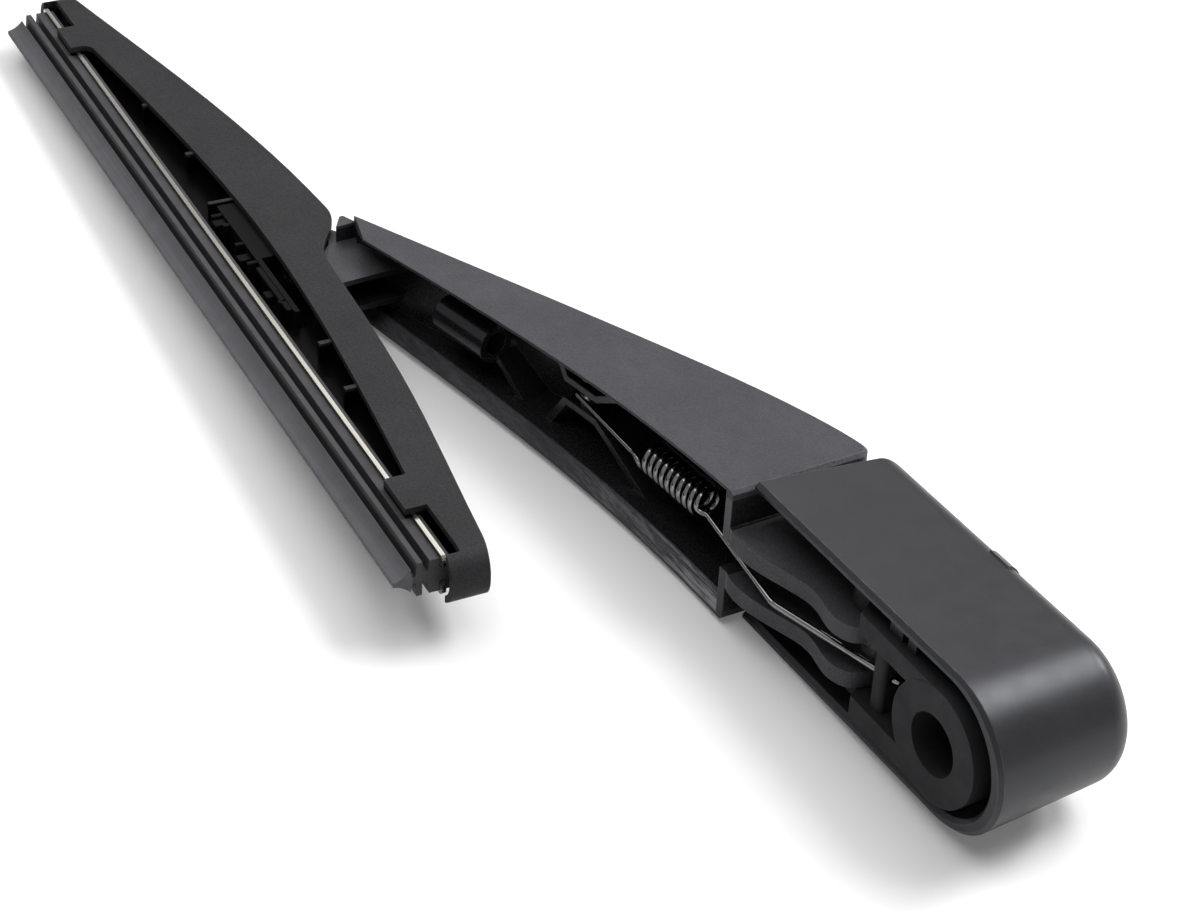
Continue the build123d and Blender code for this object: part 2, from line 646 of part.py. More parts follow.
def make_frame():
    roof = frame_roof()
    a, b = roof[0] @ 0, roof[2] @ 1
    outline = roof + [Line(b, (frame_end, claw_t)), Line((frame_end, claw_t), (-frame_end, claw_t)),
                      Line((-frame_end, claw_t), a)]
    body = side_prism(outline, frame_half)
    noses = body.edges().filter_by(Axis.Y).filter_by(lambda e: abs(e.center().X) > frame_end - 1)
    body = fillet(noses, frame_nose_r)
    inner_end = frame_end - frame_wall
    inside = frame_roof(frame_roof_t, inner_end)
    c, d = inside[0] @ 0, inside[2] @ 1
    low = claw_t + frame_half
    hollow = side_prism(inside + [Line(d, (inner_end, low)), Line((inner_end, low), (-inner_end, low)),
                                  Line((-inner_end, low), c)], frame_in)
    hollow = fillet(hollow.edges().filter_by(Axis.Y).filter_by(lambda e: abs(e.center().X) > inner_end - 1),
                    frame_nose_r - frame_wall)
    frame = body - hollow
    window = side_prism(frame_window(), 2 * frame_half)
    far_corner = window.edges().filter_by(Axis.Z).group_by(Axis.X)[-1].sort_by(Axis.Y)[0]
    frame -= fillet(far_corner, window_round)
    for side in (-1, 1):
        s0, s1 = sorted((side * claw_out, side * notch_out))
        frame -= block(s0, s1, notch_top, low, -2 * frame_half, 2 * frame_half)
        e0, e1 = sorted((side * notch_out, side * (frame_end + 1)))
        frame -= block(e0 - weld, e1 + weld, cap_t, low, -2 * frame_half, 2 * frame_half)
    frame -= block(slot_s0, slot_s1, roof_far_t - frame_half, notch_top + roof_near_t / 2,
                   -frame_in, frame_in)
    # claws with hooks under the steel strips
    hook_top = strip_t0 + strip_t + slip_gap / 2
    for side in (-1, 1):
        s0, s1 = sorted((side * claw_in, side * claw_out))
        frame += both_sides(block(s0, s1, hook_top, claw_t, hook_in, frame_in + frame_wall / 2))
        frame += block(s0, s1, crown_t0 - slip_gap - rib_t, crown_t0 - slip_gap, -frame_in - frame_wall / 2,
                       frame_in + frame_wall / 2)
    # cross ribs under the roof and a spine along the middle
    roof_block = side_prism(outline, frame_half)
    in_wall = frame_in + frame_wall / 2
    half_t = rib_t / 2
    ribs = [block(at - half_t, at + half_t, roof_far_t, low_t, -in_wall, in_wall)
            for at, low_t in rib_stations]
    ribs.append(block(-claw_in - rib_t, tray_s0 - pass_gap, roof_far_t, spine_low, -half_t, half_t))
    ribs.append(block(tray_s1 + pass_gap, claw_in + rib_t, roof_far_t, spine_low, -half_t, half_t))
    for rib in ribs:
        frame += rib & roof_block
    # the pivot pin's ends sit in blind holes
    half = frame_in + pin_seat
    frame -= cross_pin(pivot_s, pivot_t, pivot_r + seat_gap, -half, half)
    return on_blade(frame)


def make_connector():
    half = frame_in - slip_gap / 2
    inner = eye_half + slip_gap * 2
    cheek = block(pivot_s - conn_back, conn_len, conn_top, conn_low, inner, half)
    cheek = chamfer(cheek.edges().filter_by(Axis.Z).group_by(Axis.Y)[0], conn_break)
    conn = both_sides(cheek)
    conn += block(tray_s1 - conn_wall, tray_s1, conn_top + conn_break, conn_low, -inner - weld, inner + weld)
    conn += block(tray_s0, tray_s1, conn_low - conn_wall, conn_low, -half, half)
    conn -= cross_pin(pivot_s, pivot_t, pivot_r + seat_gap, -2 * half, 2 * half)
    return on_blade(conn)


def make_blade_pin():
    half = frame_in + pin_seat - seat_gap
    return on_blade(cross_pin(pivot_s, pivot_t, pivot_r, -half, half))


def make_rubber():
    t1 = crown_t0 + crown_t
    t2 = t1 + strip_t + slip_gap
    t3 = t2 + body_t
    t4 = t3 + neck_t
    t5 = t4 + fin_t
    t6 = t5 + hinge_gap_t
    t7 = t6 + lip_t
    s = -rubber_half
    side = [(crown_t0, rubber_w), (t1, rubber_w), (t1, spine_w), (t2, spine_w), (t2, rubber_w),
            (t3, rubber_w), (t3 + groove_break, neck_w), (t4, neck_w), (t4, rubber_w), (t5, rubber_w),
            (t5 + groove_break, fold_w), (t6 - groove_break, fold_w), (t6, lip_w)]
    up = [(s, t, z) for t, z in side]
    down = [(s, t, -z) for t, z in reversed(side)]
    flank = ThreePointArc((s, t6, lip_w), (s, t6 + waist_t, waist_w), (s, t7, lip_tip_w))
    other = ThreePointArc((s, t7, -lip_tip_w), (s, t6 + waist_t, -waist_w), (s, t6, -lip_w))
    edges = list(Polyline(*up).edges()) + [flank, Line((s, t7, lip_tip_w), (s, t7, -lip_tip_w)), other]
    edges += list(Polyline(*down).edges()) + [Line((s, crown_t0, -rubber_w), (s, crown_t0, rubber_w))]
    rubber = extrude(make_face(edges), amount=2 * rubber_half, dir=(1, 0, 0))
    return on_blade(rubber)


def make_strip(side):
    z0, z1 = sorted((side * (spine_w + slip_gap), side * strip_out))
    strip = block(-strip_half, strip_half, strip_t0, strip_t0 + strip_t, z0, z1)
    strip = chamfer(strip.edges().filter_by(Axis.Y), strip_t)
    return on_blade(strip)


def build():
    os.makedirs("parts", exist_ok=True)
    parts = {
        "spindle_head": make_head(),
        "hinge_pin": make_hinge_pin(),
        "head_cover": make_cover(),
        "arm_body": make_arm(),
        "spring_anchor_pin": make_anchor_pin(),
        "tension_spring": make_spring(),
        "blade_frame": make_frame(),
        "blade_connector": make_connector(),
        "blade_pivot_pin": make_blade_pin(),
        "wiper_rubber": make_rubber(),
        "upper_steel_strip": make_strip(1),
        "lower_steel_strip": make_strip(-1),
    }
    for name, part in parts.items():
        export_step(part, f"parts/{name}.step")


build()
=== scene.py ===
import logging
from abc import ABC, abstractmethod
from collections.abc import Callable
from dataclasses import dataclass, field
from enum import Enum
from functools import partial, reduce
from math import atan2, cos, radians, sin, tau

import bmesh
import bpy
from bpy.types import Material, Node, NodeOutputs, NodeSocket, NodeTree
from mathutils import Matrix, Vector


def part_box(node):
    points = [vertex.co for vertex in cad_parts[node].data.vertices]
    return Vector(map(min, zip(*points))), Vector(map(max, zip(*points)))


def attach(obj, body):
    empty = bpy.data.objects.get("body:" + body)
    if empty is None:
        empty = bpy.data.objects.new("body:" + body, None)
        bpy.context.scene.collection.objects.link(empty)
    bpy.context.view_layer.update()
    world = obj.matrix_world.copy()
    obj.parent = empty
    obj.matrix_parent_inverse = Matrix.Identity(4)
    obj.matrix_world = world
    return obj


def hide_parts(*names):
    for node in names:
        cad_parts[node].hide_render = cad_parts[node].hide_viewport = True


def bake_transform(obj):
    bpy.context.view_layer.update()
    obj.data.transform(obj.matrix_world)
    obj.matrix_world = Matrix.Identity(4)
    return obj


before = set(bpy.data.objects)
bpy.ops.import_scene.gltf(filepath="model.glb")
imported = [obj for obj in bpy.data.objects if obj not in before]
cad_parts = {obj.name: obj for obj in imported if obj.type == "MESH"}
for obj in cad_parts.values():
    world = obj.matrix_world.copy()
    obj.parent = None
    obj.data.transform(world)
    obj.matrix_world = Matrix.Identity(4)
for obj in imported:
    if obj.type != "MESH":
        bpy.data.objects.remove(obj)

logging.basicConfig(level=logging.INFO, format="%(message)s")
log = logging.getLogger("wiper")

MM = 0.001
BLADE_TURN = radians(-3.965)
BEVEL_SAMPLES = 4
NOISE_SPAN = (0.3, 0.7)
MASK_SPAN = (0.0, 1.0)
WHITE = (1.0, 1.0, 1.0)
# Places of two corners in Blender's list of a bound box
LOWEST_CORNER = 0
HIGHEST_CORNER = 6

Colour = tuple[float, float, float]
Span = tuple[float, float]
Value = NodeSocket | float
Ends = tuple[Value, Value]


class Body(str, Enum):
    """Bodies that the new pieces ride on."""

    HEAD = "head"
    ARM = "arm"
    BLADE = "blade"


class Lay(Enum):
    """Which way the drawn lines of a finish run, as a turn about Z."""

    ARM = 0.0
    BLADE = BLADE_TURN


def rgba(colour: Colour) -> tuple[float, float, float, float]:
    """Give a colour its full alpha."""
    return (*colour, 1.0)


def about(middle: float, width: float) -> Span:
    """Give the span of a width about its middle."""
    return middle - width / 2, middle + width / 2


def point(x: float, y: float, z: float = 0.0) -> Vector:
    """Make a dataclass field that holds a point."""
    return field(default_factory=lambda: Vector((x, y, z)))


def show(name: str, data: bpy.types.ID) -> bpy.types.Object:
    """Put data in the scene as an object at the origin.

    Args:
        name: The object's name.
        data: Its mesh, curve, camera or light.

    Returns:
        The new object.
    """
    made = bpy.data.objects.new(name, data)
    bpy.context.scene.collection.objects.link(made)
    return made


class Nodes:
    """A node tree that is filled one node at a time."""

    def __init__(self, tree: NodeTree) -> None:
        """Start from an empty tree."""
        self.tree = tree
        tree.nodes.clear()

    def add(self, kind: str, **settings: object) -> Node:
        """Add a node.

        Args:
            kind: Blender's name of the node type.
            settings: Properties to set on the node.

        Returns:
            The new node.
        """
        node = self.tree.nodes.new(kind)
        for name, value in settings.items():
            setattr(node, name, value)
        return node

    def feed(self, node: Node, **inputs: object) -> Node:
        """Set or link a node's inputs, named with _ for a space or i0, i1 for a place.

        Args:
            node: The node to feed.
            inputs: A socket to link from, or a plain value.

        Returns:
            The same node.
        """
        for name, value in inputs.items():
            place = int(name[1:]) if name[0] == "i" and name[1:].isdigit() else name.replace("_", " ")
            if isinstance(value, NodeSocket):
                self.tree.links.new(value, node.inputs[place])
            else:
                node.inputs[place].default_value = value
        return node

    def effect(self, tree: NodeTree, **inputs: object) -> NodeOutputs:
        """Place a shared effect and give what it puts out."""
        return self.feed(self.add("ShaderNodeGroup", node_tree=tree), **inputs).outputs

    def maths(self, operation: str, first: Value, second: Value = 0.0) -> NodeSocket:
        """Work out one value from two."""
        return self.feed(self.add("ShaderNodeMath", operation=operation), i0=first, i1=second).outputs[0]

    def vectors(self, operation: str, first: NodeSocket, second: NodeSocket | Vector) -> NodeOutputs:
        """Work out a vector or a value from two vectors."""
        return self.feed(self.add("ShaderNodeVectorMath", operation=operation), i0=first, i1=second).outputs

    def summed(self, *parts: tuple[NodeSocket, float]) -> NodeSocket:
        """Add up values, each times its share."""
        shares = [self.maths("MULTIPLY", value, share) for value, share in parts]
        return reduce(partial(self.maths, "ADD"), shares)

    def product(self, *values: NodeSocket) -> NodeSocket:
        """Multiply values or masks with each other."""
        return reduce(partial(self.maths, "MULTIPLY"), values)

    def ranged(self, value: NodeSocket, span: Ends, result: Ends) -> NodeSocket:
        """Stretch a value from one span to another, with both ends held."""
        node = self.add("ShaderNodeMapRange", clamp=True)
        return self.feed(node, i0=value, i1=span[0], i2=span[1], i3=result[0], i4=result[1]).outputs[0]

    def noise(self, place: NodeSocket, scale: NodeSocket, detail: float,
              roughness: float = 0.5) -> NodeSocket:
        """Lay noise over the surface."""
        node = self.add("ShaderNodeTexNoise")
        return self.feed(node, Vector=place, Scale=scale, Detail=detail, Roughness=roughness).outputs[0]

    def mixed(self, share: NodeSocket, first: object, second: object) -> NodeSocket:
        """Mix two colours, for which the node has its inputs 6 and 7 and its output 2."""
        node = self.add("ShaderNodeMix", data_type="RGBA")
        return self.feed(node, i0=share, i6=first, i7=second).outputs[2]

    def dimmed(self, colour: NodeSocket, share: NodeSocket) -> NodeSocket:
        """Scale a colour by a share."""
        node = self.add("ShaderNodeVectorMath", operation="SCALE")
        return self.feed(node, i0=colour, Scale=share).outputs[0]

    def turned(self, vector: NodeSocket, angle: Value) -> NodeSocket:
        """Turn a vector about Z."""
        node = self.add("ShaderNodeVectorRotate", rotation_type="Z_AXIS")
        return self.feed(node, Vector=vector, Angle=angle).outputs[0]

    def split(self, vector: NodeSocket) -> NodeOutputs:
        """Split a vector into X, Y and Z."""
        return self.feed(self.add("ShaderNodeSeparateXYZ"), Vector=vector).outputs

    def rounded(self, radius: Value) -> NodeSocket:
        """Give the normals of the surface with its edges rounded."""
        return self.feed(self.add("ShaderNodeBevel", samples=BEVEL_SAMPLES), Radius=radius).outputs[0]


class Effects:
    """Surface effects that several finishes share, each one a node group."""

    GRAIN_SIZE = 0.35 * MM
    CLOUD_SIZE = 18 * MM
    CLOUD_SHARE = 0.3
    PATCHES_PER_CLOUD = 3.7
    CELL_HEIGHT = 0.7
    FINE_HEIGHT = 0.6
    RUB_WIDTH = 0.4 * MM
    RUB_GAP = 2.5 * MM
    # Cosine between the flat and the rounded normal where an edge starts and where it is full
    EDGE_COSINES = (0.995, 0.86)
    RUB_NOISE = (0.35, 0.7)
    RUB_SHARE = (0.15, 1.0)
    LINE_WIDTH = 0.25 * MM
    LINE_STRETCH = 0.01
    BROAD_LINES = 0.23
    BROAD_SHARE = 0.5
    LEDGE_PLAY = 0.15 * MM
    # Y of the normal: inner faces have more than the first, and bevelled edges lie between the other two
    INNER_FACING = -0.5
    BEVEL_FACING = (0.3, 0.6)
    ROOT_RUN = (0.05, 0.4)
    ROOT_SHARE = (1.0, 0.12)

    def __init__(self) -> None:
        """Build every group once."""
        self.grain = self._moulded_grain()
        self.rub = self._edge_rub_and_glint()
        self.lines = self._drawn_lines()
        self.inside = self._channel_inside()

    @staticmethod
    def _group(name: str, vectors: tuple[str, ...], values: dict[str, float],
               outputs: tuple[str, ...]) -> tuple[Nodes, NodeOutputs, Node]:
        """Start a group.

        Args:
            name: The group's name.
            vectors: Names of its vector inputs.
            values: Names and first values of its number inputs.
            outputs: Names of the values that it puts out.

        Returns:
            The group's nodes, the sockets of its inputs and its output node.
        """
        tree = bpy.data.node_groups.new(name, "ShaderNodeTree")
        for label in vectors:
            tree.interface.new_socket(label, in_out="INPUT", socket_type="NodeSocketVector")
        for label, value in values.items():
            socket = tree.interface.new_socket(label, in_out="INPUT", socket_type="NodeSocketFloat")
            socket.default_value = value
        for label in outputs:
            tree.interface.new_socket(label, in_out="OUTPUT", socket_type="NodeSocketFloat")
        nodes = Nodes(tree)
        return nodes, nodes.add("NodeGroupInput").outputs, nodes.add("NodeGroupOutput")

    def _moulded_grain(self) -> NodeTree:
        """Make the fine grain, cloudy tone and uneven gloss of moulded plastic.

        Returns:
            The group, which puts out a tone, a gloss and a height.
        """
        scales = {"Grain": 1 / self.GRAIN_SIZE, "Cloud": 1 / self.CLOUD_SIZE}
        nodes, ins, outs = self._group("Moulded grain", ("Vector",), scales, ("Tone", "Gloss", "Height"))
        place = ins["Vector"]
        cells = nodes.add("ShaderNodeTexVoronoi", feature="SMOOTH_F1")
        nodes.feed(cells, Vector=place, Scale=ins["Grain"])
        fine = nodes.noise(place, ins["Grain"], detail=3.0, roughness=0.6)
        cloud = nodes.noise(place, ins["Cloud"], detail=4.0, roughness=0.55)
        patches = nodes.maths("MULTIPLY", ins["Cloud"], self.PATCHES_PER_CLOUD)
        height = nodes.summed((cells.outputs["Distance"], self.CELL_HEIGHT), (fine, self.FINE_HEIGHT))
        tone = nodes.summed((cloud, self.CLOUD_SHARE), (fine, 1 - self.CLOUD_SHARE))
        nodes.feed(outs, Tone=tone, Gloss=nodes.noise(place, patches, detail=5.0), Height=height)
        return nodes.tree

    def _edge_rub_and_glint(self) -> NodeTree:
        """Make a mask of the slightly paler edges, partly wear and partly a painted highlight.

        Returns:
            The group, which puts out the mask.
        """
        sizes = {"Width": self.RUB_WIDTH, "Break": 1 / self.RUB_GAP}
        nodes, ins, outs = self._group("Edge rub", ("Vector",), sizes, ("Rub",))
        flat = nodes.add("ShaderNodeNewGeometry").outputs["Normal"]
        same = nodes.vectors("DOT_PRODUCT", nodes.rounded(ins["Width"]), flat)
        edge = nodes.ranged(same["Value"], self.EDGE_COSINES, MASK_SPAN)
        gaps = nodes.noise(ins["Vector"], ins["Break"], detail=4.0)
        nodes.feed(outs, Rub=nodes.product(edge, nodes.ranged(gaps, self.RUB_NOISE, self.RUB_SHARE)))
        return nodes.tree

    def _drawn_lines(self) -> NodeTree:
        """Make long fine lines, as left by drawing or extruding.

        Returns:
            The group, which puts out the lines and their height.
        """
        sizes = {"Turn": 0.0, "Fineness": 1 / self.LINE_WIDTH, "Stretch": self.LINE_STRETCH}
        nodes, ins, outs = self._group("Drawn lines", ("Vector",), sizes, ("Line", "Height"))
        stretch = nodes.feed(nodes.add("ShaderNodeCombineXYZ"), X=ins["Stretch"], Y=1.0, Z=1.0)
        turned = nodes.turned(ins["Vector"], ins["Turn"])
        drawn = nodes.vectors("MULTIPLY", turned, stretch.outputs[0])["Vector"]
        fine = nodes.noise(drawn, ins["Fineness"], detail=3.0)
        broad = nodes.noise(drawn, nodes.maths("MULTIPLY", ins["Fineness"], self.BROAD_LINES), detail=2.0)
        both = nodes.summed((fine, 1 - self.BROAD_SHARE), (broad, self.BROAD_SHARE))
        nodes.feed(outs, Line=both, Height=fine)
        return nodes.tree

    def _channel_inside(self) -> NodeTree:
        """Find the inside of a channel that runs along X and opens to +Y.

        Returns:
            The group, which puts out masks of inner faces and bevelled edges, and the nearness to the root.
        """
        sizes = dict.fromkeys(("Start", "End", "Start half", "End half", "Ledge", "Ledge half"), 0.0)
        masks = ("Inside", "Bevel", "Root")
        nodes, ins, outs = self._group("Channel inside", ("Vector", "Normal"), sizes, masks)
        place = nodes.split(ins["Vector"])
        facing = nodes.split(ins["Normal"])["Y"]
        along = place["X"]
        aside = nodes.maths("ABSOLUTE", place["Z"])
        half = nodes.ranged(along, (ins["Start"], ins["End"]), (ins["Start half"], ins["End half"]))
        off_ledge = nodes.maths("ABSOLUTE", nodes.maths("SUBTRACT", aside, ins["Ledge half"]))
        on_ledge = nodes.product(nodes.maths("GREATER_THAN", along, ins["Ledge"]),
                                 nodes.maths("LESS_THAN", off_ledge, self.LEDGE_PLAY))
        inside = nodes.product(nodes.maths("SUBTRACT", 1.0, on_ledge),
                               nodes.maths("LESS_THAN", aside, half),
                               nodes.maths("GREATER_THAN", facing, self.INNER_FACING),
                               nodes.maths("GREATER_THAN", along, ins["Start"]),
                               nodes.maths("LESS_THAN", along, ins["End"]))
        bevel = nodes.product(nodes.maths("GREATER_THAN", aside, half),
                              nodes.maths("GREATER_THAN", facing, self.BEVEL_FACING[0]),
                              nodes.maths("LESS_THAN", facing, self.BEVEL_FACING[1]))
        run = nodes.maths("DIVIDE", nodes.maths("SUBTRACT", along, ins["Start"]),
                          nodes.maths("SUBTRACT", ins["End"], ins["Start"]))
        nodes.feed(outs, Inside=inside, Bevel=bevel, Root=nodes.ranged(run, self.ROOT_RUN, self.ROOT_SHARE))
        return nodes.tree


@dataclass(frozen=True)
class Finish(ABC):
    """What every finish has: a slot of the record, two tones and a gloss range."""

    slot: str
    dark: Colour
    light: Colour
    gloss: Span
    edge_round: float = 0.3 * MM
    specular: float = 0.5

    @abstractmethod
    def material(self, effects: Effects) -> Material:
        """Make the material from the shared effects."""

    def start(self) -> tuple[Nodes, Node, NodeSocket, Material]:
        """Start the material.

        Returns:
            Its nodes, the Principled shader, the object coordinates and the material.
        """
        material = bpy.data.materials.new(self.slot)
        material.use_nodes = True
        nodes = Nodes(material.node_tree)
        shader = nodes.feed(nodes.add("ShaderNodeBsdfPrincipled"), Specular_IOR_Level=self.specular)
        nodes.feed(nodes.add("ShaderNodeOutputMaterial"), Surface=shader.outputs[0])
        place = nodes.add("ShaderNodeTexCoord").outputs["Object"]
        return nodes, shader, place, material

    def tone(self, nodes: Nodes, noise: NodeSocket) -> NodeSocket:
        """Vary the colour between the finish's two tones."""
        return nodes.mixed(nodes.ranged(noise, NOISE_SPAN, MASK_SPAN), rgba(self.dark), rgba(self.light))

    def roughness(self, nodes: Nodes, noise: NodeSocket) -> NodeSocket:
        """Vary the roughness within the finish's gloss range."""
        return nodes.ranged(noise, NOISE_SPAN, self.gloss)

    def relief(self, nodes: Nodes, shader: Node, height: NodeSocket, depth: float) -> None:
        """Round the shader's edges and press a relief into it.

        Args:
            nodes: The material's nodes.
            shader: Its Principled shader.
            height: Height of the relief.
            depth: Its depth in metres.
        """
        bump = nodes.feed(nodes.add("ShaderNodeBump"), Height=height, Distance=depth, Strength=1.0)
        if self.edge_round > 0:
            nodes.feed(bump, Normal=nodes.rounded(self.edge_round))
        nodes.feed(shader, Normal=bump.outputs[0])


@dataclass(frozen=True)
class Channel:
    """Where a moulding's inside lies, in metres: its ends, its half widths there and an outer ledge."""

    start: float
    end: float
    start_half: float
    end_half: float
    ledge: float = 1.0
    ledge_half: float = 0.0


@dataclass(frozen=True)
class Moulded(Finish):
    """Black moulded plastic, with painted shade that keeps the inside of its channel darker than its
    outside.

    Inside the channel, inner_shade darkens the colour as painted shade, and inner_gloss and inner_relief
    scale the roughness and the relief.
    The outside has a coat with the weight skin and the roughness skin_gloss. Highlights have the tint cast.
    """

    grain: float = 0.35 * MM
    grain_depth: float = 0.02 * MM
    # Colour of the paler edges: partly wear, partly a painted highlight along the rounded edges
    worn_and_glint: Colour = (0.12, 0.12, 0.125)
    cast: Colour = (0.91, 0.92, 1.0)
    channel: Channel | None = None
    # Pale streaks on the bevelled edges near the root: partly scuffing and partly a painted sheen of the
    # light on that bevel band
    scuff_and_sheen: Colour = (0.3, 0.3, 0.31)
    scuff_and_sheen_stretch: float = 0.012
    scuff_and_sheen_lines: Span = (0.45, 0.6)
    scuff_and_sheen_share: Span = (0.1, 1.0)
    skin: float = 0.0
    skin_gloss: float = 0.56
    # Painted shade: share of the outer colour that the channel's inner faces and bevelled edges keep
    inner_shade: float = 0.25
    inner_gloss: float = 0.6
    inner_relief: float = 0.15

    def _masks(self, nodes: Nodes, effects: Effects) -> NodeOutputs:
        """Find the inside of the channel.

        Args:
            nodes: The material's nodes.
            effects: The shared effects.

        Returns:
            Masks of the inner faces and the bevelled edges, and the nearness to the root.
        """
        where = nodes.add("ShaderNodeTexCoord").outputs
        channel = self.channel
        return nodes.effect(effects.inside, Vector=where["Object"], Normal=where["Normal"],
                            Start=channel.start, End=channel.end, Start_half=channel.start_half,
                            End_half=channel.end_half, Ledge=channel.ledge, Ledge_half=channel.ledge_half)

    def _paint_inner_shade_and_scuffs(self, nodes: Nodes, streaks: NodeSocket, masks: NodeOutputs,
                      colour: NodeSocket) -> NodeSocket:
        """Paint shade into the channel so that it is darker than its outside, and put pale scuffs, partly a
        painted sheen, on its bevelled edges.

        Args:
            nodes: The material's nodes.
            streaks: Long fine lines for the scuffs.
            masks: Where the inside of the channel lies.
            colour: Colour of the outside.

        Returns:
            The colour of the whole surface.
        """
        # Painted shade: inner faces and bevelled edges are darkened to stand in for the shade inside the
        # channel
        dark = nodes.maths("MAXIMUM", masks["Inside"], masks["Bevel"])
        dim = nodes.dimmed(colour, nodes.ranged(dark, MASK_SPAN, (1.0, self.inner_shade)))
        # Pale streaks on the bevel, fading from the root: partly scuffs and partly a painted sheen
        scuff = nodes.product(masks["Bevel"], masks["Root"],
                              nodes.ranged(streaks, self.scuff_and_sheen_lines, self.scuff_and_sheen_share))
        return nodes.mixed(scuff, dim, rgba(self.scuff_and_sheen))

    def material(self, effects: Effects) -> Material:
        """Make the material.

        Args:
            effects: The shared effects.

        Returns:
            The material.
        """
        nodes, shader, place, material = self.start()
        grain = nodes.effect(effects.grain, Vector=place, Grain=1 / self.grain)
        rub = nodes.effect(effects.rub, Vector=place, Width=self.edge_round)["Rub"]
        # Paler edges: partly wear, partly a painted highlight
        colour = nodes.mixed(rub, self.tone(nodes, grain["Tone"]), rgba(self.worn_and_glint))
        rough = self.roughness(nodes, grain["Gloss"])
        height = grain["Height"]
        if self.channel is not None:
            masks = self._masks(nodes, effects)
            streaks = nodes.effect(effects.lines, Vector=place, Stretch=self.scuff_and_sheen_stretch)["Line"]
            colour = self._paint_inner_shade_and_scuffs(nodes, streaks, masks, colour)
            inside = masks["Inside"]
            rough = nodes.product(rough, nodes.ranged(inside, MASK_SPAN, (1.0, self.inner_gloss)))
            height = nodes.product(height, nodes.ranged(inside, MASK_SPAN, (1.0, self.inner_relief)))
            if self.skin > 0:
                coat = nodes.ranged(inside, MASK_SPAN, (self.skin, 0.0))
                nodes.feed(shader, Coat_Weight=coat, Coat_Roughness=self.skin_gloss)
        nodes.feed(shader, Base_Color=colour, Roughness=rough, Specular_Tint=rgba(self.cast))
        self.relief(nodes, shader, height, self.grain_depth)
        return material


@dataclass(frozen=True)
class DrawnSteel(Finish):
    """Drawn or rolled steel."""

    lay: Lay = Lay.ARM
    line: float = 0.2 * MM
    line_depth: float = 0.006 * MM

    def material(self, effects: Effects) -> Material:
        """Make the material.

        Args:
            effects: The shared effects.

        Returns:
            The material.
        """
        nodes, shader, place, material = self.start()
        lines = nodes.effect(effects.lines, Vector=place, Turn=-self.lay.value, Fineness=1 / self.line)
        nodes.feed(shader, Metallic=1.0, Base_Color=self.tone(nodes, lines["Line"]),
                   Roughness=self.roughness(nodes, lines["Line"]))
        self.relief(nodes, shader, lines["Height"], self.line_depth)
        return material


@dataclass(frozen=True)
class Rubber(Finish):
    """Extruded black rubber, pale with bloom on the lip and darker towards the bow."""

    lay: Lay = Lay.BLADE
    line: float = 0.5 * MM
    line_depth: float = 0.03 * MM
    bloom: float = 0.4
    lip: float = 69.9 * MM
    lip_blur: float = 0.3 * MM
    ribs: float = 0.4

    def material(self, effects: Effects) -> Material:
        """Make the material.

        Args:
            effects: The shared effects.

        Returns:
            The material.
        """
        nodes, shader, place, material = self.start()
        lines = nodes.effect(effects.lines, Vector=place, Turn=-self.lay.value, Fineness=1 / self.line)
        bloom = nodes.effect(effects.grain, Vector=place)
        both = nodes.summed((lines["Line"], 1 - self.bloom), (bloom["Tone"], self.bloom))
        colour = self.tone(nodes, both)
        depth = nodes.split(nodes.turned(place, -self.lay.value))["Y"]
        share = nodes.ranged(depth, (self.lip - self.lip_blur, self.lip), (self.ribs, 1.0))
        nodes.feed(shader, Base_Color=nodes.dimmed(colour, share),
                   Roughness=self.roughness(nodes, bloom["Gloss"]))
        self.relief(nodes, shader, lines["Height"], self.line_depth)
        return material


# The cover's pale edges are partly wear and partly a painted highlight along its rims
SATIN_COVER = Moulded(
    "satin_cover", dark=(0.011, 0.011, 0.012), light=(0.019, 0.019, 0.021), gloss=(0.33, 0.41),
    specular=0.42, grain=0.3 * MM, grain_depth=0.010 * MM, worn_and_glint=(0.2, 0.2, 0.205))
# The arm's channel carries painted shade inside and pale scuffs, partly a painted sheen, on its bevel
ARM_PLASTIC = Moulded(
    "grained_plastic", dark=(0.016, 0.016, 0.018), light=(0.052, 0.052, 0.056), gloss=(0.5, 0.62),
    specular=0.42, grain=0.45 * MM, grain_depth=0.09 * MM, inner_shade=0.5, inner_gloss=0.36, inner_relief=0.06,
    channel=Channel(start=64 * MM, end=212 * MM, start_half=13.9 * MM, end_half=7.3 * MM,
                    ledge=184 * MM, ledge_half=4.4 * MM))
# The bow's channel carries painted shade inside
BOW_PLASTIC = Moulded(
    "grained_plastic", dark=(0.010, 0.010, 0.011), light=(0.034, 0.034, 0.036), gloss=(0.5, 0.62),
    specular=0.03, grain=0.45 * MM, grain_depth=0.08 * MM, worn_and_glint=(0.06, 0.06, 0.063), skin=0.25, inner_shade=0.1,
    channel=Channel(start=84.5 * MM, end=334 * MM, start_half=4.95 * MM, end_half=4.95 * MM))
HEAD_PLASTIC = Moulded(
    "head_plastic", dark=(0.010, 0.010, 0.011), light=(0.016, 0.016, 0.017), gloss=(0.5, 0.66),
    specular=0.22, grain=0.3 * MM, grain_depth=0.012 * MM, worn_and_glint=(0.05, 0.05, 0.052))
